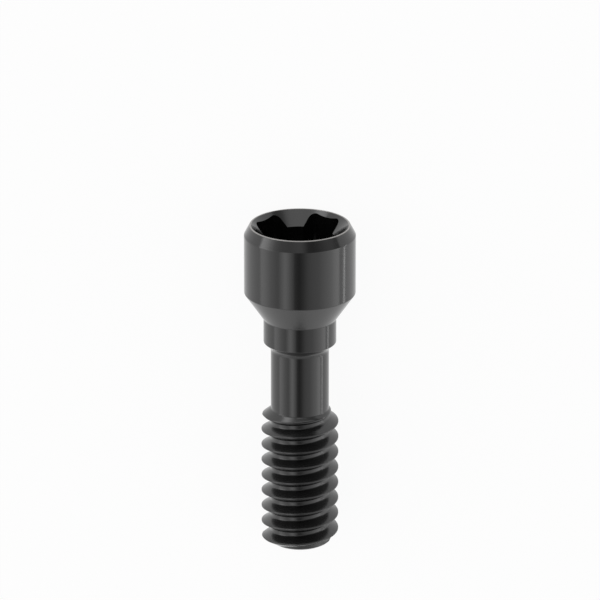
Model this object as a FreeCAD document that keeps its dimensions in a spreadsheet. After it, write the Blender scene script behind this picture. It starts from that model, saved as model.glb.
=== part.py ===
import FreeCAD, Part
import math
import os
import Sketcher
from FreeCAD import Placement, Rotation, Vector

# The screw that holds an abutment down on its implant, turned from one bar
# of titanium: a socket head, a seat cone, a collar, a thin shank and a fine
# metric thread. Lengths are in millimetres and angles in degrees. Heights
# run along the screw, from the flat end of the thread up to the rim.

DRIVING_SIZES = [
    # The head, its outer chamfer and the cone that seats it.
    ("head_diameter", 2.385),
    ("head_wall_height", 1.28),
    ("rim_diameter", 2.142),
    ("rim_chamfer_height", 0.223),
    ("seat_half_angle", 35.0),
    # The collar under the seat. A short cone eases it into the shank, with a
    # fillet that is given as a share of their step, and the shank is
    # relieved a little below the thread's root.
    ("collar_diameter", 1.555),
    ("collar_height", 0.522),
    ("collar_ease_angle", 50.0),
    ("collar_fillet_share", 1.15),
    ("shank_relief", 0.006),
    ("shank_length", 1.522),
    # The thread, M1.7 by 0.35, with its lead-in cone and its end chamfer.
    ("thread_diameter", 1.70),
    ("thread_allowance", 0.05),
    ("thread_pitch", 0.35),
    ("thread_length", 3.066),
    ("crest_land", 0.028),
    ("root_land", 0.095),
    ("flank_angle", 30.0),
    ("lead_angle", 50.0),
    ("first_crest_height", 0.311),
    ("end_diameter", 1.10),
    ("end_angle", 60.0),
    # The drive socket: a countersink, a round bore and two crossed slots.
    ("countersink_diameter", 2.078),
    ("countersink_half_angle", 45.0),
    ("bore_diameter", 1.485),
    ("slot_span", 1.885),
    ("slot_width", 0.778),
    ("slot_corner", 0.15),
    ("slot_turn", 52.5),
    ("socket_depth", 1.15),
    ("drill_half_angle", 59.0),
]

# How far the thread cutter reaches past the crest, and how far past the
# lead-in cone it runs, counted in turns.
CUTTER_CLEARANCE = 0.1
CUTTER_RUN_OUT = 0.6


def half(word):
    return "(sizes.%s / 2)" % word


def cone_height(wide, narrow, angle_word):
    """The height that a cone takes between two radii."""
    return "((%s - %s) / tan(sizes.%s))" % (wide, narrow, angle_word)


# Radii of the turned outline. The flanks of the thread run from the land on
# its crest down to the land at the root of the groove.
HEAD = half("head_diameter")
RIM = half("rim_diameter")
COLLAR = half("collar_diameter")
CREST = "((sizes.thread_diameter - sizes.thread_allowance) / 2)"
HALF_MOUTH = "((sizes.thread_pitch - sizes.crest_land) / 2)"
HALF_ROOT = half("root_land")
ROOT = "(%s - (%s - %s) / tan(sizes.flank_angle))" % (CREST, HALF_MOUTH, HALF_ROOT)
SHANK = "(%s - sizes.shank_relief)" % ROOT
COLLAR_FILLET = "((%s - %s) * sizes.collar_fillet_share)" % (COLLAR, SHANK)
END = half("end_diameter")
COUNTERSINK = half("countersink_diameter")
BORE = half("bore_diameter")

# Heights of the turned outline, from the end of the thread up.
END_CHAMFER = cone_height(CREST, END, "end_angle")
THREAD_TOP = "sizes.thread_length"
LEAD_BASE = "(%s - %s)" % (THREAD_TOP, cone_height(CREST, SHANK, "lead_angle"))
COLLAR_BASE = "(%s + sizes.shank_length)" % THREAD_TOP
EASE_BASE = "(%s - %s)" % (COLLAR_BASE, cone_height(COLLAR, SHANK, "collar_ease_angle"))
SEAT_BASE = "(%s + sizes.collar_height)" % COLLAR_BASE
SEAT_TOP = "(%s + %s)" % (SEAT_BASE, cone_height(HEAD, COLLAR, "seat_half_angle"))
CHAMFER_BASE = "(%s + sizes.head_wall_height)" % SEAT_TOP
RIM_HEIGHT = "(%s + sizes.rim_chamfer_height)" % CHAMFER_BASE

# Heights inside the socket.
BORE_TOP = "(%s - %s)" % (RIM_HEIGHT, cone_height(COUNTERSINK, BORE, "countersink_half_angle"))
FLOOR = "(%s - sizes.socket_depth)" % RIM_HEIGHT
DRILL_POINT = "(%s - %s / tan(sizes.drill_half_angle))" % (FLOOR, BORE)

# The cutter that makes the groove between two crests. It starts in the air
# below the flat end, on the side of the screw that will face the floor.
CUTTER_REACH = "(%s + %s)" % (CREST, CUTTER_CLEARANCE)
GROOVE_START = "(sizes.first_crest_height - sizes.thread_pitch * 1.25)"
HALF_REACH = "(%s + %s * tan(sizes.flank_angle))" % (HALF_MOUTH, CUTTER_CLEARANCE)
GROOVE_TURNS = "((%s - %s) / sizes.thread_pitch + %s)" % (THREAD_TOP, GROOVE_START, CUTTER_RUN_OUT)

# How the screw lies at rest: on the lower corner of its head and on the
# last full crest, which faces the floor a quarter turn past the first.
LAST_CREST = "(sizes.first_crest_height + sizes.thread_pitch / 4 - sizes.crest_land / 2)"
LEAN = "atan((%s - %s) / (%s - %s))" % (HEAD, CREST, SEAT_TOP, LAST_CREST)
LIFT = "(%s * cos(%s) - %s * sin(%s))" % (CREST, LEAN, LAST_CREST, LEAN)
HEAD_END = "(%s * cos(%s) + %s * sin(%s))" % (RIM_HEIGHT, LEAN, RIM, LEAN)
THREAD_END = "(%s * sin(%s))" % (END, LEAN)
SHIFT = "((%s - %s) / 2)" % (THREAD_END, HEAD_END)


def make_sheet(document):
    """One row for each driving size, so that a rule can call it by its word."""
    sheet = document.addObject("Spreadsheet::Sheet", "sizes")
    for row, (word, value) in enumerate(DRIVING_SIZES, start=1):
        sheet.set("A%d" % row, word)
        sheet.set("B%d" % row, str(value))
        sheet.setAlias("B%d" % row, word)
    document.recompute()
    return sheet


def value_of(item, rule):
    """What a rule comes to with the sizes now in the sheet."""
    return float(item.evalExpression(rule))


def hold_distance(sketch, kind, line, end, rule):
    """Hold one end of a line at a ruled distance from the origin."""
    distance = value_of(sketch, rule)
    if distance < 0.0:
        tie = Sketcher.Constraint(kind, line, end, -1, 1, -distance)
        rule = "-" + rule
    else:
        tie = Sketcher.Constraint(kind, -1, 1, line, end, distance)
    index = sketch.addConstraint(tie)
    sketch.setExpression("Constraints[%d]" % index, rule)


def add_sketch(body, name, plane):
    sketch = body.newObject("Sketcher::SketchObject", name)
    planes = [item for item in body.Origin.OriginFeatures if item.Role == plane]
    sketch.AttachmentSupport = (planes[0], "")
    sketch.MapMode = "FlatFace"
    return sketch


def outline_sketch(body, name, corners):
    """A closed outline through corners, each a rule for radius and height.

    None stands for the axis of the screw, or for its flat end. The outline is
    on the side that will face the floor, where the screw's seams then lie.
    """
    sketch = add_sketch(body, name, "YZ_Plane")
    points = []
    for radius, height in corners:
        across = 0.0 if radius is None else value_of(sketch, radius)
        up = 0.0 if height is None else value_of(sketch, height)
        points.append(Vector(across, up, 0.0))
    followers = points[1:] + points[:1]
    lines = []
    for start, stop in zip(points, followers):
        lines.append(sketch.addGeometry(Part.LineSegment(start, stop), False))
    for line, follower in zip(lines, lines[1:] + lines[:1]):
        sketch.addConstraint(Sketcher.Constraint("Coincident", line, 2, follower, 1))
    for line, (radius, height) in zip(lines, corners):
        if radius is None:
            sketch.addConstraint(Sketcher.Constraint("PointOnObject", line, 1, -2))
        else:
            hold_distance(sketch, "DistanceX", line, 1, radius)
        if height is None:
            sketch.addConstraint(Sketcher.Constraint("PointOnObject", line, 1, -1))
        else:
            hold_distance(sketch, "DistanceY", line, 1, height)
    body.Document.recompute()
    return sketch


def turn_blank(body):
    """The screw as it leaves the lathe, countersunk and bored."""
    corners = [
        (None, None),
        (END, None),
        (CREST, END_CHAMFER),
        (CREST, LEAD_BASE),
        (SHANK, THREAD_TOP),
        (SHANK, EASE_BASE),
        (COLLAR, COLLAR_BASE),
        (COLLAR, SEAT_BASE),
        (HEAD, SEAT_TOP),
        (HEAD, CHAMFER_BASE),
        (RIM, RIM_HEIGHT),
        (COUNTERSINK, RIM_HEIGHT),
        (BORE, BORE_TOP),
        (BORE, FLOOR),
        (None, DRILL_POINT),
    ]
    outline = outline_sketch(body, "turned_outline", corners)
    blank = body.newObject("PartDesign::Revolution", "turned_blank")
    blank.Profile = outline
    blank.ReferenceAxis = (outline, ["V_Axis"])
    blank.Angle = 360.0
    body.Document.recompute()
    return blank


def corner_under_collar(blank):
    """The name of the inside edge where the shank meets the cone under the collar."""
    radius = value_of(blank, SHANK)
    height = value_of(blank, EASE_BASE)
    for number, edge in enumerate(blank.Shape.Edges, start=1):
        if not isinstance(edge.Curve, Part.Circle):
            continue
        right_radius = abs(edge.Curve.Radius - radius) < 1e-4
        if right_radius and abs(edge.Curve.Center.z - height) < 1e-4:
            return "Edge%d" % number
    raise ValueError("the corner under the collar wasn't found")


def ease_collar(body, blank):
    """The fillet that eases the shank into the cone under the collar."""
    fillet = body.newObject("PartDesign::Fillet", "collar_ease")
    fillet.Base = (blank, [corner_under_collar(blank)])
    fillet.Radius = value_of(fillet, COLLAR_FILLET)
    fillet.setExpression("Radius", COLLAR_FILLET)
    body.Document.recompute()
    return fillet


def slot_outline(body, name, quarter_turns):
    """One straight slot across the head, with its four corners rounded."""
    sketch = add_sketch(body, name, "XY_Plane")
    reach = value_of(sketch, half("slot_span"))
    side = value_of(sketch, half("slot_width"))
    corner = value_of(sketch, "sizes.slot_corner")
    turn = "(sizes.slot_turn + %d)" % (90 * quarter_turns)
    sketch.AttachmentOffset = Placement(
        Vector(0.0, 0.0, value_of(sketch, RIM_HEIGHT)),
        Rotation(Vector(0.0, 0.0, 1.0), value_of(sketch, turn)),
    )
    sketch.setExpression("AttachmentOffset.Base.z", RIM_HEIGHT)
    sketch.setExpression("AttachmentOffset.Rotation.Angle", turn)
    up = Vector(0.0, 0.0, 1.0)
    across = reach - corner
    along = side - corner
    quarter = math.pi / 2.0
    arcs = []
    for number, (right, back) in enumerate([(1, 1), (-1, 1), (-1, -1), (1, -1)]):
        circle = Part.Circle(Vector(right * across, back * along, 0.0), up, corner)
        arc = Part.ArcOfCircle(circle, number * quarter, (number + 1) * quarter)
        arcs.append(sketch.addGeometry(arc, False))
    spans = [
        (Vector(across, side, 0.0), Vector(-across, side, 0.0)),
        (Vector(-reach, along, 0.0), Vector(-reach, -along, 0.0)),
        (Vector(-across, -side, 0.0), Vector(across, -side, 0.0)),
        (Vector(reach, -along, 0.0), Vector(reach, along, 0.0)),
    ]
    lines = [sketch.addGeometry(Part.LineSegment(start, stop), False) for start, stop in spans]
    for arc, line, follower in zip(arcs, lines, arcs[1:] + arcs[:1]):
        sketch.addConstraint(Sketcher.Constraint("Tangent", arc, 2, line, 1))
        sketch.addConstraint(Sketcher.Constraint("Tangent", line, 2, follower, 1))
    for arc in arcs[1:]:
        sketch.addConstraint(Sketcher.Constraint("Equal", arcs[0], arc))
    sketch.addConstraint(Sketcher.Constraint("Horizontal", lines[0]))
    sketch.addConstraint(Sketcher.Constraint("Vertical", lines[1]))
    sketch.addConstraint(Sketcher.Constraint("Symmetric", arcs[0], 3, arcs[2], 3, -1, 1))
    radius = sketch.addConstraint(Sketcher.Constraint("Radius", arcs[0], corner))
    sketch.setExpression("Constraints[%d]" % radius, "sizes.slot_corner")
    hold_distance(sketch, "DistanceX", lines[3], 1, half("slot_span"))
    hold_distance(sketch, "DistanceY", lines[0], 1, half("slot_width"))
    body.Document.recompute()
    return sketch


def cut_drive_slots(body):
    """Two slots at a right angle, which make the four wings of the socket."""
    for quarter_turns, name in enumerate(["first_slot", "second_slot"]):
        before = body.Shape.Volume
        slot = body.newObject("PartDesign::Pocket", name)
        slot.Profile = slot_outline(body, name + "_outline", quarter_turns)
        slot.Length = value_of(slot, "sizes.socket_depth")
        slot.setExpression("Length", "sizes.socket_depth")
        body.Document.recompute()
        if body.Shape.Volume >= before:
            raise RuntimeError("%s removed nothing" % name)


def cut_thread(body):
    """The thread groove, led in below the end and out over the shank."""
    corners = [
        (ROOT, "(%s - %s)" % (GROOVE_START, HALF_ROOT)),
        (CUTTER_REACH, "(%s - %s)" % (GROOVE_START, HALF_REACH)),
        (CUTTER_REACH, "(%s + %s)" % (GROOVE_START, HALF_REACH)),
        (ROOT, "(%s + %s)" % (GROOVE_START, HALF_ROOT)),
    ]
    before = body.Shape.Volume
    outline = outline_sketch(body, "groove_outline", corners)
    groove = body.newObject("PartDesign::SubtractiveHelix", "thread_groove")
    groove.Profile = outline
    groove.ReferenceAxis = (outline, ["V_Axis"])
    groove.Mode = "pitch-turns-angle"
    groove.Pitch = value_of(groove, "sizes.thread_pitch")
    groove.Turns = value_of(groove, GROOVE_TURNS)
    groove.LeftHanded = False
    groove.setExpression("Pitch", "sizes.thread_pitch")
    groove.setExpression("Turns", GROOVE_TURNS)
    body.Document.recompute()
    if body.Shape.Volume >= before:
        raise RuntimeError("the thread groove removed nothing")


def lay_on_side(body):
    """Lay the screw on its side, the thread to the front and a little low."""
    away_from_upright = "(90 deg - %s)" % LEAN
    turn = Rotation(Vector(-1.0, 0.0, 0.0), value_of(body, away_from_upright))
    base = Vector(0.0, value_of(body, SHIFT), value_of(body, LIFT))
    body.Placement = Placement(base, turn)
    body.setExpression("Placement.Rotation.Angle", away_from_upright)
    body.setExpression("Placement.Base.y", SHIFT)
    body.setExpression("Placement.Base.z", LIFT)
    body.Document.recompute()


def make_screw(document):
    """The whole screw, one solid."""
    body = document.addObject("PartDesign::Body", "abutment_screw")
    body.Label = "abutment_screw"
    blank = turn_blank(body)
    ease_collar(body, blank)
    cut_drive_slots(body)
    cut_thread(body)
    lay_on_side(body)
    return body


def check_document(document):
    """Stop if anything failed to build."""
    for item in document.Objects:
        if "Invalid" in item.State or "Error" in item.State:
            raise RuntimeError("%s failed: %s" % (item.Label, item.State))
        made_here = item.isDerivedFrom("PartDesign::Feature") or item.isDerivedFrom("PartDesign::Body")
        if made_here and (item.Shape.isNull() or not item.Shape.isValid()):
            raise RuntimeError("%s has no sound shape" % item.Label)


def main():
    document = FreeCAD.newDocument("abutment_screw")
    make_sheet(document)
    screw = make_screw(document)
    check_document(document)
    if len(screw.Shape.Solids) != 1:
        raise RuntimeError("the screw isn't one solid")
    os.makedirs("parts", exist_ok=True)
    screw.Shape.exportStep("parts/%s.step" % screw.Label)


main()
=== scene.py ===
import math

import bmesh
import bpy
from mathutils import Matrix, Vector


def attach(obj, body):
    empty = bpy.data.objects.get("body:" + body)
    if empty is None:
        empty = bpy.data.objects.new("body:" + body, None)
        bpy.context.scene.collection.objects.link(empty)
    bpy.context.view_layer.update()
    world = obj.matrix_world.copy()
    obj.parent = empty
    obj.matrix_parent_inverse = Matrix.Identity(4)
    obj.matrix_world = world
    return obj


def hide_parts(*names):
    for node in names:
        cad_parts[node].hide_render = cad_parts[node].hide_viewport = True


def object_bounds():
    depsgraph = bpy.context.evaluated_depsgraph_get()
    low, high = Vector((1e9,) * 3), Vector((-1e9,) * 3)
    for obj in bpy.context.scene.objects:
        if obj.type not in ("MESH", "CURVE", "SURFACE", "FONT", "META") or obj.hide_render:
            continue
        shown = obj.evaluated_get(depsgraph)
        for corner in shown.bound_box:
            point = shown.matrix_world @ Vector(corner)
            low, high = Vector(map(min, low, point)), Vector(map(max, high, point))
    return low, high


# The abutment screw, dressed for the photograph: one smooth turned piece with
# its thread and its socket, a satin black coating, a white floor and soft
# light. Sizes are in millimetres, and heights run from the flat end of the
# thread up to the rim, as they do on the lathe.

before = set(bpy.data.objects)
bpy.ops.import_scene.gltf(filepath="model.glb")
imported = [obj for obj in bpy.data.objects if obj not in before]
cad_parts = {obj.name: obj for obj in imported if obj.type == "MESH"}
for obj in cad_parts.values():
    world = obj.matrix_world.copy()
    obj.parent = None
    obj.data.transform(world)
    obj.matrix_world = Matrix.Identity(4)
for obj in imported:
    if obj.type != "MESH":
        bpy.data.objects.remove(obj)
SOLID_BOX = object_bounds()

MM = 0.001
FULL_TURN = 2 * math.pi
QUARTER_TURN = math.pi / 2

# The turned form.
HEAD = 2.385 / 2
HEAD_WALL = 1.28
RIM = 2.142 / 2
RIM_CHAMFER = 0.223
SEAT_HALF_ANGLE = math.radians(35.0)
COLLAR = 1.555 / 2
COLLAR_HEIGHT = 0.522
COLLAR_EASE_ANGLE = math.radians(50.0)
COLLAR_FILLET_SHARE = 1.15
SHANK_RELIEF = 0.006
SHANK_LENGTH = 1.522

# The thread.
CREST = 1.65 / 2
PITCH = 0.35
THREAD_LENGTH = 3.066
CREST_LAND = 0.028
ROOT_LAND = 0.095
FLANK_ANGLE = math.radians(30.0)
LEAD_ANGLE = math.radians(50.0)
FIRST_CREST = 0.311
END = 1.10 / 2
END_ANGLE = math.radians(60.0)

# The drive socket.
COUNTERSINK = 2.078 / 2
BORE = 1.485 / 2
SLOT_REACH = 1.885 / 2
SLOT_SIDE = 0.778 / 2
SLOT_CORNER = 0.15
SLOT_TURN = math.radians(52.5)
SLOT_ARMS = 4
SOCKET_DEPTH = 1.15
DRILL_HALF_ANGLE = math.radians(59.0)

# What the sizes above come to.
HALF_MOUTH = (PITCH - CREST_LAND) / 2
HALF_ROOT = ROOT_LAND / 2
ROOT = CREST - (HALF_MOUTH - HALF_ROOT) / math.tan(FLANK_ANGLE)
SHANK = ROOT - SHANK_RELIEF
COLLAR_FILLET = (COLLAR - SHANK) * COLLAR_FILLET_SHARE
COLLAR_BASE = THREAD_LENGTH + SHANK_LENGTH
EASE_BASE = COLLAR_BASE - (COLLAR - SHANK) / math.tan(COLLAR_EASE_ANGLE)
SEAT_BASE = COLLAR_BASE + COLLAR_HEIGHT
SEAT_TOP = SEAT_BASE + (HEAD - COLLAR) / math.tan(SEAT_HALF_ANGLE)
CHAMFER_BASE = SEAT_TOP + HEAD_WALL
RIM_HEIGHT = CHAMFER_BASE + RIM_CHAMFER
SOCKET_FLOOR = RIM_HEIGHT - SOCKET_DEPTH

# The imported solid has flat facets, and the head stays inside their box.
HEAD_SHOWN = min(HEAD, SOLID_BOX[1][0] / MM)

# The small radius that the cutter and the coating leave on the edges, and the
# one in the thread's root.
EDGE_BREAK = 0.012
RIM_BREAK = 0.014
THREAD_EDGE = 0.008
ROOT_ROUNDING = 0.03

# How many rows of points each stretch of the outline has between its ends. A
# broken edge has EDGE_STEPS, and a plain row NEAR_BREAK times as far out on
# each side. A corner left sharp has rows NEAR_EDGE away from it.
SHANK_ROWS = 12
FILLET_STEPS = 12
EASE_ROWS = 3
COLLAR_ROWS = 4
SEAT_ROWS = 5
HEAD_ROWS = 10
CHAMFER_ROWS = 3
EDGE_STEPS = 4
NEAR_BREAK = 1.6
NEAR_EDGE = 0.01

# Where the other rows are. Shares run from 0 to 1 over the stretch they name,
# and the crest's rows are given by their distance from the crest's edge.
ROOT_SHARES = (0.5, 0.75, 0.9, 1.0)
FLANK_SHARES = (0.05, 0.12, 0.2, 0.45, 0.7, 0.92)
CREST_OFFSETS = (-0.004, -0.001, 0.003, 0.008)
FLAT_END_SHARES = (0.03, 0.5, 0.97)
COUNTERSINK_SHARES = (0.0, 0.08, 0.5, 0.92, 1.0)
SOCKET_WALL_SHARES = (0.02, 0.1, 0.25, 0.5, 0.75, 0.9, 0.98, 1.0)
SOCKET_FLOOR_SHARES = (0.1, 0.5, 0.9, 1.0)
DRILL_POINT_SHARES = (0.95, 0.6, 0.25, 0.03)

# The first groove that the rows follow is this many pitches under the first
# crest, and they make some turns more than the thread has, so that both ends
# of the thread cut them off.
PITCHES_UNDER = 2.5
SPARE_TURNS = 3

# The columns round the screw. Each corner of the socket has its own, and a
# column nearer to one of those than COLUMN_GAP radians makes way for it.
# Angles are rounded to ANGLE_DIGITS places.
COLUMNS = 200
SLOT_CORNER_STEPS = 6
COLUMN_GAP = 0.004
ANGLE_DIGITS = 6

# Points closer than SAME_POINT become one, and then edges shorter than
# NO_LENGTH go. Socket edges that turn by more than HARD_TURN stay crisp.
SAME_POINT = 0.0002
NO_LENGTH = 0.0001
HARD_TURN = math.radians(28.0)

# How the screw lies, on the lower corner of its head and on the last crest.
LAST_CREST = FIRST_CREST + PITCH / 4 - CREST_LAND / 2
LEAN = math.atan2(HEAD - CREST, SEAT_TOP - LAST_CREST)
LIFT = CREST * math.cos(LEAN) - LAST_CREST * math.sin(LEAN)
HEAD_END = RIM_HEIGHT * math.cos(LEAN) + RIM * math.sin(LEAN)
THREAD_END = END * math.sin(LEAN)
SHIFT = (THREAD_END - HEAD_END) / 2

# The move that lays the lathe's upright screw on the floor, in metres.
LAY_PLACE = Vector((0.0, SHIFT, LIFT)) * MM
LAY_TURN = LEAN - QUARTER_TURN
LAID_DOWN = Matrix.Translation(LAY_PLACE) @ Matrix.Rotation(LAY_TURN, 4, "X")

# Noises of the coating: the number of directions they run in, their scale to
# the millimetre, their detail and their roughness. The rings that the cutter
# left follow the height plus RING_LEAN of the radius, so that flat faces show
# them too.
BROAD_RINGS = ("1D", 9.0, 2.0, 0.5)
FINE_RINGS = ("1D", 45.0, 3.0, 0.6)
GRAIN = ("3D", 28.0, 3.0, 0.6)
CLOUDS = ("3D", 1.6, 2.0, 0.5)
RING_LEAN = 0.8

# The coating's colours and gloss. What a noise adds is named for that noise.
DEEP_BLACK = (0.0018, 0.0018, 0.002, 1.0)
SOFT_BLACK = (0.004, 0.0039, 0.0038, 1.0)
CLOUD_SHADE = 0.5
GRAIN_SHADE = 0.25
RING_SHADE = 0.25
COATING_IOR = 1.65
ROUGHNESS = 0.08
GRAIN_ROUGHNESS = 0.05
CLOUD_ROUGHNESS = 0.04
RING_ROUGHNESS = 0.04
THREAD_ROUGHNESS = 0.08
THREAD_FADE = (THREAD_LENGTH - 0.16, THREAD_LENGTH + 0.02)
RING_RELIEF = 0.7
GRAIN_RELIEF = 0.3
RELIEF_DEPTH = 0.0012
RELIEF_STRENGTH = 0.35

# A painted highlight: a lighter, partly metallic band painted along the countersink's
# edge, where the rim's edge catches the light. The heights and the radii over which
# it fades in, how strong it is, and its metal.
HIGHLIGHT_HEIGHTS = (RIM_HEIGHT - 0.014, RIM_HEIGHT - 0.004)
HIGHLIGHT_RADII = (COUNTERSINK - 0.010, COUNTERSINK)
HIGHLIGHT_LEAST = 0.7
HIGHLIGHT_GRAIN = 0.5
HIGHLIGHT_METALLIC = 0.8
HIGHLIGHT_METAL_COLOR = (0.30, 0.29, 0.28, 1.0)

# The floor of white paper, in metres. GLOW_SHARE of it is plain white to the
# camera and in reflections, and the rest takes the shadow.
FLOOR_SIZE = 0.4
PAPER = (0.95, 0.95, 0.95, 1.0)
WHITE = (1.0, 1.0, 1.0, 1.0)
GLOW_SHARE = 0.93

# How bright the room is from the screw's left to its right, as pairs of a
# place from 0 to 1 and a brightness up to ROOM_TOP, where 1 is white. The
# ground is beyond the thread's end, the lower room is over the thread and the
# upper room over the head. Beyond the rim are the back, low down, and the
# ceiling above it.
GROUND_ROOM = [(0.0, 1.8), (0.3, 0.9), (0.5, 0.75), (0.8, 0.85), (1.0, 1.8)]
LOWER_ROOM = [(0.0, 1.6), (0.03, 1.6), (0.08, 1.05), (0.16, 0.72), (0.26, 1.6), (0.34, 1.0),
              (0.42, 0.27), (0.49, 0.16), (0.56, 0.33), (0.64, 0.6), (0.72, 0.72), (0.8, 0.8),
              (0.93, 1.3), (1.0, 2.2)]
UPPER_ROOM = [(0.0, 2.0), (0.02, 3.0), (0.05, 2.5), (0.084, 1.6), (0.135, 0.86), (0.2, 0.63),
              (0.34, 0.53), (0.5, 0.65), (0.57, 0.5), (0.63, 0.22), (0.71, 0.2), (0.78, 0.28),
              (0.895, 0.5), (0.94, 0.52), (0.965, 0.3), (1.0, 0.06)]
BACK_ROOM = [(0.0, 4.0), (0.2, 2.6), (0.29, 2.9), (0.34, 2.0), (0.4, 0.95), (0.5, 0.75),
             (0.6, 0.4), (0.8, 0.35), (1.0, 0.15)]
CEILING_ROOM = [(0.0, 4.0), (0.16, 3.2), (0.2, 2.4), (0.25, 1.5), (0.3, 1.15), (0.5, 1.25),
                (0.7, 1.25), (0.8, 1.15), (0.86, 0.8), (1.0, 0.15)]
ROOM_TOP = 5.0

# Where each of them takes over from the one before: the first three as the
# view swings towards the head, and the ceiling as it swings up.
LOWER_FROM = (-0.75, -0.5)
UPPER_FROM = (-0.1, 0.3)
BACK_FROM = (0.55, 0.85)
CEILING_FROM = (0.18, 0.34)

# The strip lamp at the right: its middle, its length, and the height and the
# brightness of the lamps that make it up. LAMP_POWER puts a lamp's brightness
# on the room's scale.
STRIP_PLACE = (7.0, 0.0, 0.245)
STRIP_FACES = (-1.0, 0.0, 0.0)
STRIP_LENGTH = 8.6
STRIP_BANDS = ((0.48, 1.6), (0.34, 1.8), (0.2, 1.8))
LAMP_POWER = 4

# The camera of the photograph: how steeply it looks down past the rim, how
# far off it is, and what it looks at, as a height on the screw's axis. The
# nearest and the furthest that it sees are in metres.
VIEW_ANGLE = math.radians(19.87)
VIEW_DISTANCE = 150.0
VIEW_HEIGHT = 5.509
PHOTO_SIZE = 600
PIXELS_PER_MM = 46.97
AXIS_COLUMN = 299.9
SENSOR_WIDTH = 36.0
NEAREST = 0.01
FURTHEST = 10.0


def softened_least(first, second, reach):
    """The lesser of two radii, with the corner between them eased."""
    overlap = max(reach - abs(first - second), 0.0) / reach
    return min(first, second) - overlap * overlap * reach / 4


def thread_radius(height, phase):
    """Radius on the thread, where phase is the height from a groove's middle."""
    chamfer = END + height * math.tan(END_ANGLE)
    lead_in = SHANK + (THREAD_LENGTH - height) * math.tan(LEAD_ANGLE)
    blank = softened_least(softened_least(chamfer, CREST, THREAD_EDGE), lead_in, THREAD_EDGE)
    flank = ROOT + (abs(phase) - HALF_ROOT) / math.tan(FLANK_ANGLE)
    groove = -softened_least(-flank, -ROOT, ROOT_ROUNDING)
    return softened_least(blank, groove, THREAD_EDGE)


def thread_phases():
    """Heights across one pitch, closer together at the corners of the thread."""
    flank = HALF_MOUTH - HALF_ROOT
    half = [0.0]
    half += [HALF_ROOT * share for share in ROOT_SHARES]
    half += [HALF_ROOT + flank * share for share in FLANK_SHARES]
    half += [HALF_MOUTH + offset for offset in CREST_OFFSETS]
    middle_of_crest = PITCH / 2
    upper = half + [middle_of_crest]
    lower = [-phase for phase in reversed(half[1:])]
    return lower + upper


def climb_at(angle):
    """How far the helix has climbed, in one direction from the axis."""
    return PITCH * angle / FULL_TURN


def wrapped_phase(height, angle):
    """Height from the middle of the nearest groove, at one side of the screw."""
    groove = FIRST_CREST - PITCH / 2 + climb_at(angle)
    return (height - groove + PITCH / 2) % PITCH - PITCH / 2


def thread_rows(angles):
    """Rows along the helix, cut off at the thread's ends, and how many make a turn."""
    phases = thread_phases()
    first_groove = FIRST_CREST - PITCH * PITCHES_UNDER
    turns = int(THREAD_LENGTH / PITCH) + SPARE_TURNS
    rows = []
    for turn in range(turns):
        for phase in phases:
            row = []
            for angle in angles:
                middle = first_groove + turn * PITCH + climb_at(angle)
                height = min(max(middle + phase, 0.0), THREAD_LENGTH)
                row.append((thread_radius(height, wrapped_phase(height, angle)), height))
            rows.append(row)
    return rows, len(phases)


def arc_points(centre, radius, start, stop, steps):
    """Points on an arc of the outline, each a radius and a height."""
    points = []
    for step in range(steps + 1):
        angle = start + (stop - start) * step / steps
        points.append((centre[0] + radius * math.cos(angle), centre[1] + radius * math.sin(angle)))
    return points


def broken_corner(before, corner, after, size):
    """A corner of the outline with its edge eased, and a point close by on each side."""
    corner_at = Vector(corner)
    to_before = (Vector(before) - corner_at).normalized()
    to_after = (Vector(after) - corner_at).normalized()
    start = corner_at + to_before * size
    stop = corner_at + to_after * size
    points = [tuple(corner_at + to_before * size * NEAR_BREAK)]
    for step in range(EDGE_STEPS + 1):
        share = step / EDGE_STEPS
        first = start.lerp(corner_at, share)
        second = corner_at.lerp(stop, share)
        points.append(tuple(first.lerp(second, share)))
    points.append(tuple(corner_at + to_after * size * NEAR_BREAK))
    return points


def between(start, stop, count):
    """Points spread evenly between two points of the outline, without its ends."""
    points = []
    for step in range(1, count + 1):
        share = step / (count + 1)
        radius = start[0] + (stop[0] - start[0]) * share
        height = start[1] + (stop[1] - start[1]) * share
        points.append((radius, height))
    return points


def outer_outline():
    """The turned outline from the top of the thread to the rim."""
    foot = (SHANK, THREAD_LENGTH)
    fillet_base = EASE_BASE - COLLAR_FILLET * math.tan(COLLAR_EASE_ANGLE / 2)
    fillet_centre = (SHANK + COLLAR_FILLET, fillet_base)
    fillet_stop = math.pi - COLLAR_EASE_ANGLE
    fillet = arc_points(fillet_centre, COLLAR_FILLET, math.pi, fillet_stop, FILLET_STEPS)
    collar_low = (COLLAR, COLLAR_BASE)
    collar_high = (COLLAR, SEAT_BASE)
    head_low = (HEAD_SHOWN, SEAT_TOP)
    head_high = (HEAD_SHOWN, CHAMFER_BASE)
    rim_out = (RIM, RIM_HEIGHT)
    rim_in = (COUNTERSINK, RIM_HEIGHT)
    outline = [(SHANK, THREAD_LENGTH + NEAR_EDGE)]
    outline += between(foot, fillet[0], SHANK_ROWS)
    outline += fillet
    outline += between(fillet[-1], collar_low, EASE_ROWS)
    outline += broken_corner(fillet[-1], collar_low, collar_high, EDGE_BREAK)
    outline += between(collar_low, collar_high, COLLAR_ROWS)
    outline += [(COLLAR, SEAT_BASE - NEAR_EDGE), collar_high]
    outline += [(COLLAR + NEAR_EDGE * math.tan(SEAT_HALF_ANGLE), SEAT_BASE + NEAR_EDGE)]
    outline += between(collar_high, head_low, SEAT_ROWS)
    outline += broken_corner(collar_high, head_low, head_high, EDGE_BREAK)
    outline += between(head_low, head_high, HEAD_ROWS)
    outline += broken_corner(head_low, head_high, rim_out, EDGE_BREAK)
    outline += between(head_high, rim_out, CHAMFER_ROWS)
    outline += broken_corner(head_high, rim_out, rim_in, RIM_BREAK)
    return outline


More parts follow.
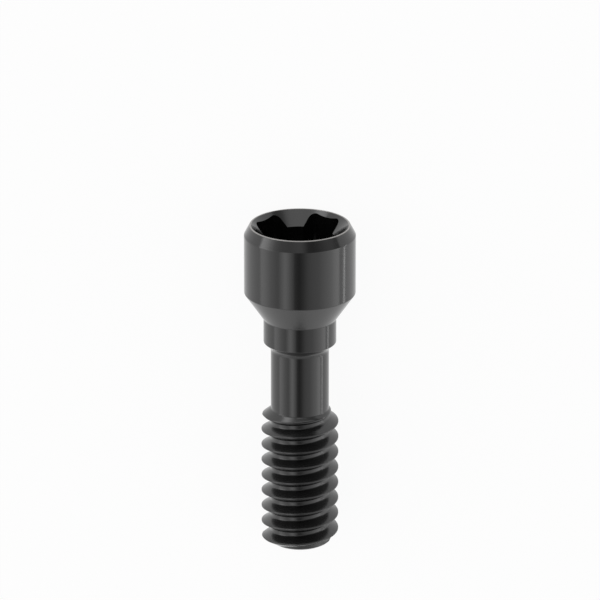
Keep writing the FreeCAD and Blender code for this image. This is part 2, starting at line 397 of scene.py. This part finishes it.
def slot_radius(angle):
    """How far out the wall of the socket is, in one direction from its middle."""
    half_quarter = QUARTER_TURN / 2
    off_arm = abs((angle - SLOT_TURN + half_quarter) % QUARTER_TURN - half_quarter)
    across = SLOT_REACH / math.cos(off_arm)
    if across * math.sin(off_arm) <= SLOT_SIDE - SLOT_CORNER:
        return max(BORE, across)
    centre = Vector((SLOT_REACH - SLOT_CORNER, SLOT_SIDE - SLOT_CORNER))
    from_centre = off_arm - math.atan2(centre.y, centre.x)
    offset = centre.length * math.sin(from_centre)
    if abs(offset) <= SLOT_CORNER:
        onto_arc = centre.length * math.cos(from_centre) + math.sqrt(SLOT_CORNER**2 - offset**2)
        if onto_arc * math.cos(off_arm) >= centre.x:
            return max(BORE, onto_arc)
    return max(BORE, SLOT_SIDE / math.sin(off_arm))


def column_angles():
    """Directions of the columns, with extra ones where the socket's wall turns."""
    end_of_flat = math.atan2(SLOT_SIDE - SLOT_CORNER, SLOT_REACH)
    end_of_arc = math.atan2(SLOT_SIDE, SLOT_REACH - SLOT_CORNER)
    end_of_slot = math.asin(SLOT_SIDE / BORE)
    turns = [end_of_flat, end_of_arc, end_of_slot]
    for step in range(1, SLOT_CORNER_STEPS):
        turns.append(end_of_flat + (end_of_arc - end_of_flat) * step / SLOT_CORNER_STEPS)
    angles = {round(FULL_TURN * number / COLUMNS, ANGLE_DIGITS) for number in range(COLUMNS)}
    for arm in range(SLOT_ARMS):
        for turn in turns:
            for side in (-1, 1):
                angle = (SLOT_TURN + arm * QUARTER_TURN + side * turn) % FULL_TURN
                near = {other for other in angles if abs(other - angle) < COLUMN_GAP}
                angles = (angles - near) | {round(angle, ANGLE_DIGITS)}
    angles.add(0.0)
    return sorted(angles)


def socket_rows(angles):
    """Rows of the socket, from the rim down to the point the drill left."""
    walls = [slot_radius(angle) for angle in angles]
    rows = []
    for share in COUNTERSINK_SHARES:
        drops = [(COUNTERSINK - wall) * share for wall in walls]
        rows.append([(COUNTERSINK - drop, RIM_HEIGHT - drop) for drop in drops])
    for share in SOCKET_WALL_SHARES:
        drops = [(COUNTERSINK - wall) * (1 - share) for wall in walls]
        heights = [RIM_HEIGHT - drop - SOCKET_DEPTH * share for drop in drops]
        rows.append(list(zip(walls, heights)))
    for share in SOCKET_FLOOR_SHARES:
        rows.append([(wall + (BORE - wall) * share, SOCKET_FLOOR) for wall in walls])
    for share in DRILL_POINT_SHARES:
        drop = BORE * (1 - share) / math.tan(DRILL_HALF_ANGLE)
        rows.append([(BORE * share, SOCKET_FLOOR - drop)] * len(angles))
    return rows


def add_ring_vertices(form, angles, row):
    """One row's points, laid down with the screw."""
    vertices = []
    for angle, (radius, height) in zip(angles, row):
        place = Vector((radius * math.cos(angle), radius * math.sin(angle), height))
        vertices.append(form.verts.new(LAID_DOWN @ (place * MM)))
    return vertices


def join_rows(form, lower, upper, wrap_lower, wrap_upper):
    """A band of faces between two rows, closed round the screw.

    Past the top of the thread both wraps are one point, and nothing is left
    to close there.
    """
    for number in range(len(lower) - 1):
        form.faces.new((lower[number], lower[number + 1], upper[number + 1], upper[number]))
    if wrap_lower is not wrap_upper:
        form.faces.new((lower[-1], wrap_lower, wrap_upper, upper[-1]))


def make_thread_bands(form, angles):
    """The thread and both of its ends, as bands that climb with the helix."""
    rows, rows_in_turn = thread_rows(angles)
    rings = [add_ring_vertices(form, angles, row) for row in rows]
    top = len(rings) - 1
    for number in range(top):
        after = min(number + rows_in_turn, top)
        above = min(number + rows_in_turn + 1, top)
        join_rows(form, rings[number], rings[number + 1], rings[after][0], rings[above][0])
    return rings[0], rings[-1]


def mark_hard_edges(form):
    """Smooth shading, with hard edges where the socket's walls turn."""
    stand_up = LAID_DOWN.inverted()
    below_socket = (SOCKET_FLOOR - NEAR_EDGE) * MM
    for face in form.faces:
        face.smooth = True
    for edge in form.edges:
        in_socket = min((stand_up @ vertex.co).z for vertex in edge.verts) > below_socket
        if in_socket and edge.is_manifold and edge.calc_face_angle() > HARD_TURN:
            edge.smooth = False


def make_turned_mesh():
    """The whole screw, as a closed skin."""
    angles = column_angles()
    form = bmesh.new()
    lowest, highest = make_thread_bands(form, angles)
    end_rows = [[(END * share, 0.0)] * len(angles) for share in FLAT_END_SHARES]
    end_rings = [add_ring_vertices(form, angles, row) for row in end_rows] + [lowest]
    body_rows = [[point] * len(angles) for point in outer_outline()]
    body_rows += socket_rows(angles)
    body_rings = [highest] + [add_ring_vertices(form, angles, row) for row in body_rows]
    for rings in (end_rings, body_rings):
        for lower, upper in zip(rings, rings[1:]):
            join_rows(form, lower, upper, lower[0], upper[0])
    form.faces.new(list(reversed(end_rings[0])))
    form.faces.new(body_rings[-1])
    bmesh.ops.remove_doubles(form, verts=form.verts, dist=SAME_POINT * MM)
    bmesh.ops.dissolve_degenerate(form, edges=form.edges, dist=NO_LENGTH * MM)
    bmesh.ops.recalc_face_normals(form, faces=form.faces)
    mark_hard_edges(form)
    mesh = bpy.data.meshes.new("black_abutment_screw")
    form.to_mesh(mesh)
    form.free()
    return mesh


class Term:
    """One output of a node, so that shader maths reads as plain sums."""

    def __init__(self, recipe, socket):
        self.recipe = recipe
        self.socket = socket

    def __add__(self, other):
        return self.recipe.worked_out("ADD", self, other)

    def __radd__(self, other):
        return self.recipe.worked_out("ADD", other, self)

    def __sub__(self, other):
        return self.recipe.worked_out("SUBTRACT", self, other)

    def __rsub__(self, other):
        return self.recipe.worked_out("SUBTRACT", other, self)

    def __mul__(self, other):
        return self.recipe.worked_out("MULTIPLY", self, other)

    def __rmul__(self, other):
        return self.recipe.worked_out("MULTIPLY", other, self)

    def __pow__(self, other):
        return self.recipe.worked_out("POWER", self, other)

    def __rpow__(self, other):
        return self.recipe.worked_out("POWER", other, self)


def set_stops(marks, stops):
    """A grey ramp's stops, from pairs of a place and a brightness up to ROOM_TOP."""
    while len(marks) < len(stops):
        marks.new(1.0)
    for mark, (place, brightness) in zip(marks, stops):
        share = brightness / ROOM_TOP
        mark.position = place
        mark.color = (share, share, share, 1.0)


class Recipe:
    """The nodes of a finish or of the room, while they are put together."""

    def __init__(self, owner):
        owner.use_nodes = True
        self.tree = owner.node_tree
        self.tree.nodes.clear()

    def node(self, kind, settings=None, sockets=None):
        """Any node: its settings first, a ramp's stops among them, then its sockets."""
        made = self.tree.nodes.new(kind)
        for word, value in (settings or {}).items():
            if word == "stops":
                set_stops(made.color_ramp.elements, value)
            else:
                setattr(made, word, value)
        for word, value in (sockets or {}).items():
            if isinstance(value, Term):
                self.tree.links.new(value.socket, made.inputs[word])
            else:
                made.inputs[word].default_value = value
        return made

    def term(self, node, output=0):
        """One output of a node, by its name or its number."""
        return Term(self, node.outputs[output])

    def worked_out(self, operation, left, right):
        """The outcome of one sum on two terms, or on a term and a number."""
        return self.term(self.node("ShaderNodeMath", {"operation": operation}, {0: left, 1: right}))

    def eased(self, value, start, stop):
        """0 below start and 1 above stop, with a smooth step between them."""
        return self.term(self.node(
            "ShaderNodeMapRange", {"interpolation_type": "SMOOTHSTEP"},
            {"Value": value, "From Min": start, "From Max": stop}))

    def mixed(self, share, first, second):
        """The first colour where share is 0, and the second where it is 1.

        A Mix node's colour sockets share their names with its other ones, so
        they go by their numbers.
        """
        return self.term(self.node(
            "ShaderNodeMix", {"data_type": "RGBA"}, {0: share, 6: first, 7: second}), 2)

    def noise(self, look, place):
        """A noise of the coating, over a height in 1D or over a place in 3D."""
        directions, scale, detail, roughness = look
        over = "W" if directions == "1D" else "Vector"
        return self.term(self.node(
            "ShaderNodeTexNoise", {"noise_dimensions": directions},
            {over: place, "Scale": scale, "Detail": detail, "Roughness": roughness}))

    def ramp(self, stops, place):
        """How bright one part of the room is at a place from its left to its right."""
        return self.term(self.node("ShaderNodeValToRGB", {"stops": stops}, {"Fac": place}))


def black_coating():
    """A satin black hard coating over turned titanium.

    The lathe leaves fine rings round the screw, and the coating on top of
    them has a faint grain. The thread is a little rougher, and a painted
    highlight, a lighter and partly metallic band, runs along the countersink's edge.
    """
    material = bpy.data.materials.new("satin_black_coating")
    finish = Recipe(material)
    laid = finish.term(finish.node("ShaderNodeTexCoord"), "Object")
    on_lathe = finish.term(finish.node("ShaderNodeMapping", {"vector_type": "TEXTURE"}, {
        "Vector": laid,
        "Location": LAY_PLACE,
        "Rotation": (LAY_TURN, 0.0, 0.0),
        "Scale": (MM, MM, MM),
    }))
    split = finish.node("ShaderNodeSeparateXYZ", sockets={"Vector": on_lathe})
    across, back, height = (finish.term(split, axis) for axis in ("X", "Y", "Z"))
    radius = (across * across + back * back) ** 0.5

    along_cut = height + radius * RING_LEAN
    broad_rings = finish.noise(BROAD_RINGS, along_cut)
    fine_rings = finish.noise(FINE_RINGS, along_cut)
    grain = finish.noise(GRAIN, on_lathe)
    clouds = finish.noise(CLOUDS, on_lathe)

    shade = clouds * CLOUD_SHADE + grain * GRAIN_SHADE + broad_rings * RING_SHADE
    black = finish.mixed(shade, DEEP_BLACK, SOFT_BLACK)
    # Painted highlight: a lighter, partly metallic band along the countersink's edge.
    at_top = finish.eased(height, *HIGHLIGHT_HEIGHTS)
    at_edge = finish.eased(radius, *HIGHLIGHT_RADII)
    painted_highlight = at_top * at_edge * (HIGHLIGHT_LEAST + grain * HIGHLIGHT_GRAIN)
    in_thread = 1 - finish.eased(height, *THREAD_FADE)
    roughness = ROUGHNESS + grain * GRAIN_ROUGHNESS + clouds * CLOUD_ROUGHNESS
    roughness = roughness + fine_rings * RING_ROUGHNESS + in_thread * THREAD_ROUGHNESS
    relief = finish.node("ShaderNodeBump", sockets={
        "Strength": RELIEF_STRENGTH,
        "Distance": RELIEF_DEPTH * MM,
        "Height": fine_rings * RING_RELIEF + grain * GRAIN_RELIEF,
    })
    shader = finish.node("ShaderNodeBsdfPrincipled", sockets={
        "Base Color": finish.mixed(painted_highlight, black, HIGHLIGHT_METAL_COLOR),
        "Metallic": painted_highlight * HIGHLIGHT_METALLIC,
        "Roughness": roughness,
        "IOR": COATING_IOR,
        "Normal": finish.term(relief),
    })
    finish.node("ShaderNodeOutputMaterial", sockets={"Surface": finish.term(shader)})
    return material


def white_paper():
    """White paper: it fills the view with white and still takes the shadow."""
    material = bpy.data.materials.new("white_paper")
    finish = Recipe(material)
    paper = finish.node("ShaderNodeBsdfDiffuse", sockets={"Color": PAPER, "Roughness": 0.0})
    glow = finish.node("ShaderNodeEmission", sockets={"Color": WHITE, "Strength": 1.0})
    rays = finish.node("ShaderNodeLightPath")
    seen = finish.term(rays, "Is Camera Ray")
    mirrored = finish.term(rays, "Is Glossy Ray")
    through = finish.term(rays, "Is Transmission Ray")
    share = (seen + mirrored + through) * GLOW_SHARE
    mixed = finish.node("ShaderNodeMixShader", sockets={
        0: share, 1: finish.term(paper), 2: finish.term(glow)})
    finish.node("ShaderNodeOutputMaterial", sockets={"Surface": finish.term(mixed)})
    return material


def make_screw():
    """The dressed screw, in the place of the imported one."""
    screw = bpy.data.objects.new("black_abutment_screw", make_turned_mesh())
    bpy.context.scene.collection.objects.link(screw)
    screw.data.materials.append(black_coating())
    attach(screw, "root")
    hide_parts("abutment_screw")


def make_floor():
    """The sheet of paper that the screw lies on."""
    mesh = bpy.data.meshes.new("paper_floor")
    half = FLOOR_SIZE / 2
    corners = [(-half, -half, 0.0), (half, -half, 0.0), (half, half, 0.0), (-half, half, 0.0)]
    mesh.from_pydata(corners, [], [(0, 1, 2, 3)])
    floor = bpy.data.objects.new("paper_floor", mesh)
    bpy.context.scene.collection.objects.link(floor)
    mesh.materials.append(white_paper())


def make_world():
    """A studio room that is dim behind the camera and bright at both sides."""
    world = bpy.data.worlds.new("studio")
    room = Recipe(world)
    towards = room.term(room.node("ShaderNodeTexCoord"), "Generated")
    split = room.node("ShaderNodeSeparateXYZ", sockets={"Vector": towards})
    left_to_right = room.term(split, "X") * 0.5 + 0.5
    along = room.term(split, "Y")
    up = room.term(split, "Z")
    low_back = room.ramp(BACK_ROOM, left_to_right)
    ceiling = room.ramp(CEILING_ROOM, left_to_right)
    back = room.mixed(room.eased(up, *CEILING_FROM), low_back, ceiling)
    light = room.ramp(GROUND_ROOM, left_to_right)
    for zone, begins in (
            (room.ramp(LOWER_ROOM, left_to_right), LOWER_FROM),
            (room.ramp(UPPER_ROOM, left_to_right), UPPER_FROM),
            (back, BACK_FROM)):
        light = room.mixed(room.eased(along, *begins), light, zone)
    background = room.node("ShaderNodeBackground", sockets={"Color": light, "Strength": ROOM_TOP})
    room.node("ShaderNodeOutputWorld", sockets={"Surface": room.term(background)})
    bpy.context.scene.world = world


def make_strip_lamp():
    """A low strip lamp along the right side, brightest at its middle."""
    for height, brightness in STRIP_BANDS:
        lamp = bpy.data.lights.new("right_strip", "AREA")
        lamp.shape = "RECTANGLE"
        lamp.size = STRIP_LENGTH * MM
        lamp.size_y = height * MM
        lamp.energy = brightness * LAMP_POWER * lamp.size * lamp.size_y
        strip = bpy.data.objects.new("right_strip", lamp)
        strip.location = Vector(STRIP_PLACE) * MM
        strip.rotation_euler = Vector(STRIP_FACES).to_track_quat("-Z", "Y").to_euler()
        strip.visible_camera = False
        strip.visible_diffuse = False
        bpy.context.scene.collection.objects.link(strip)


def make_camera():
    """The camera of the photograph, looking down on the screw as it lies."""
    data = bpy.data.cameras.new("photo_camera")
    camera = bpy.data.objects.new("photo_camera", data)
    bpy.context.scene.collection.objects.link(camera)
    target = LAID_DOWN @ Vector((0.0, 0.0, VIEW_HEIGHT * MM))
    tilt = VIEW_ANGLE - LEAN
    away = Vector((0.0, math.sin(tilt), math.cos(tilt)))
    camera.location = target + away * VIEW_DISTANCE * MM
    camera.rotation_euler = (-tilt, 0.0, 0.0)
    data.sensor_width = SENSOR_WIDTH
    data.lens = SENSOR_WIDTH * PIXELS_PER_MM * VIEW_DISTANCE / PHOTO_SIZE
    data.shift_x = (PHOTO_SIZE / 2 - AXIS_COLUMN) / PHOTO_SIZE
    data.clip_start = NEAREST
    data.clip_end = FURTHEST
    bpy.context.scene.camera = camera


make_screw()
make_floor()
make_world()
make_strip_lamp()
make_camera()
bpy.context.scene.view_settings.view_transform = "Standard"
